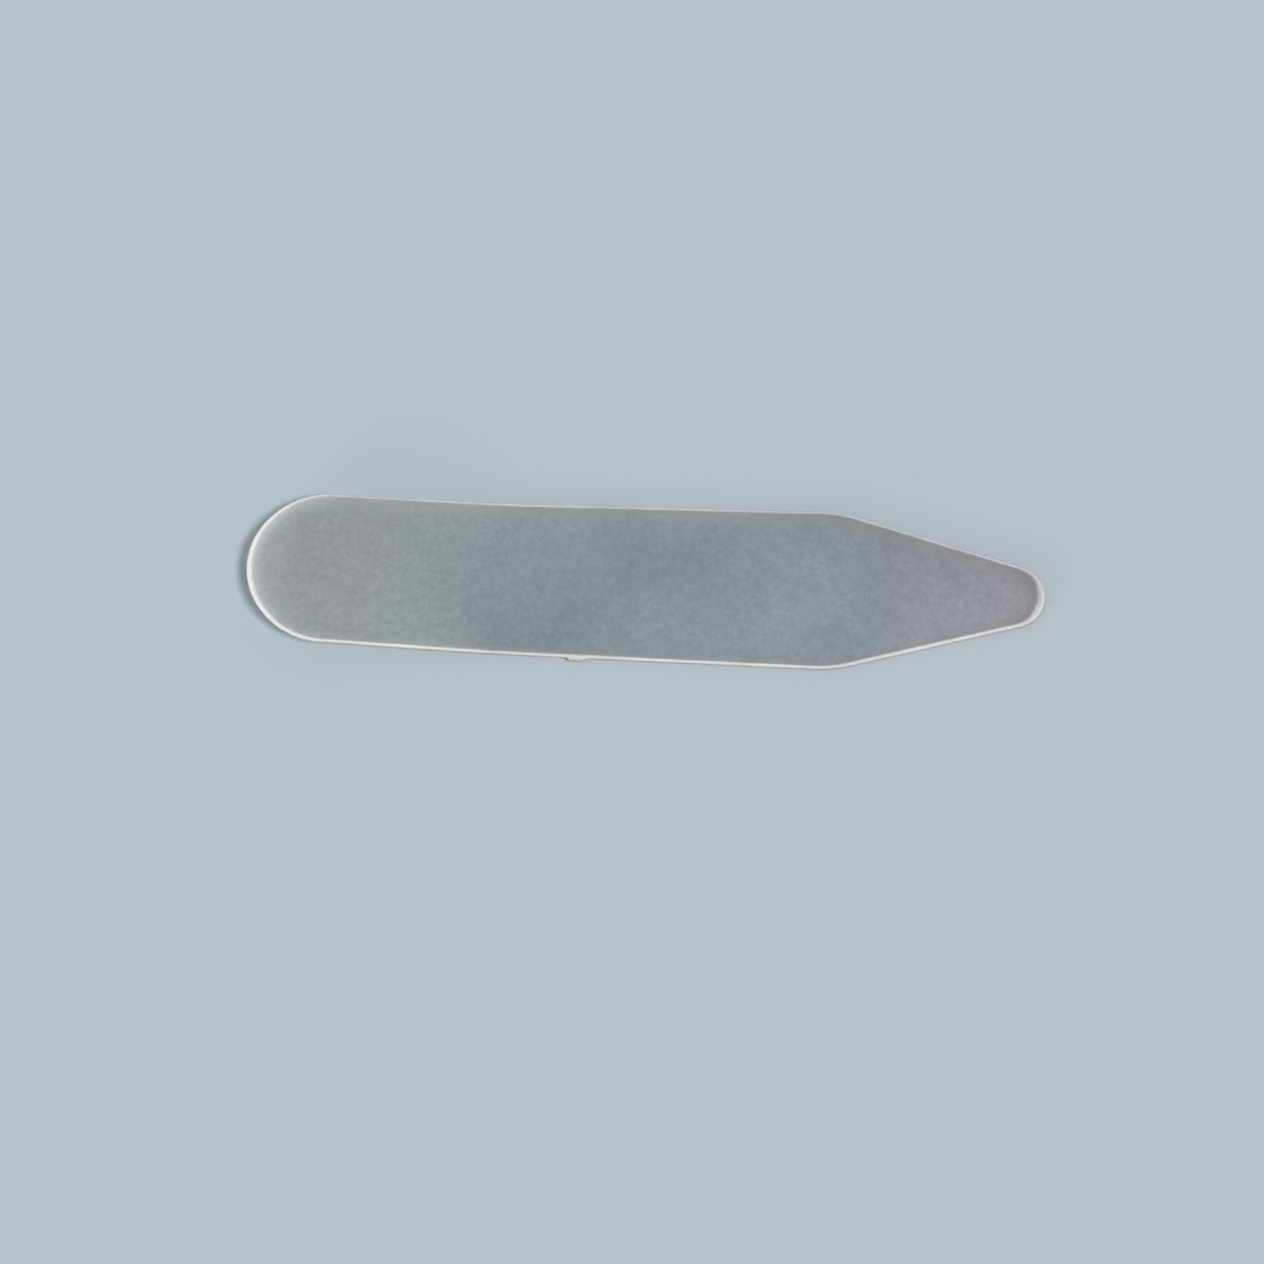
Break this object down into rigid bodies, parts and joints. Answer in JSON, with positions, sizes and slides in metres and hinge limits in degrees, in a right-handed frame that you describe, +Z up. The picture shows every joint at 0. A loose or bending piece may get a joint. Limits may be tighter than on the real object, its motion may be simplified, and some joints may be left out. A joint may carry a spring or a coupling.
{
  "type": "collar stay",
  "caption": "Thin translucent plastic blade with a round head and a tapered rounded tip, which slides into a shirt collar's pocket to keep the collar point straight.",
  "frame": {"origin": "bottom centre of the blade's bounding box, on the surface that it lies on", "axes": "+X points from the round head to the tip, +Y across the blade, +Z up from the flat underside; the head end is bent towards +Z"},
  "size_m": [0.056, 0.0113, 0.0028],
  "materials": {
    "frosted_plastic": "translucent, frosted faces with brighter polished edges"
  },
  "bodies": {
    "root": {"stay_blade": "frosted_plastic"}
  },
  "joints": []
}
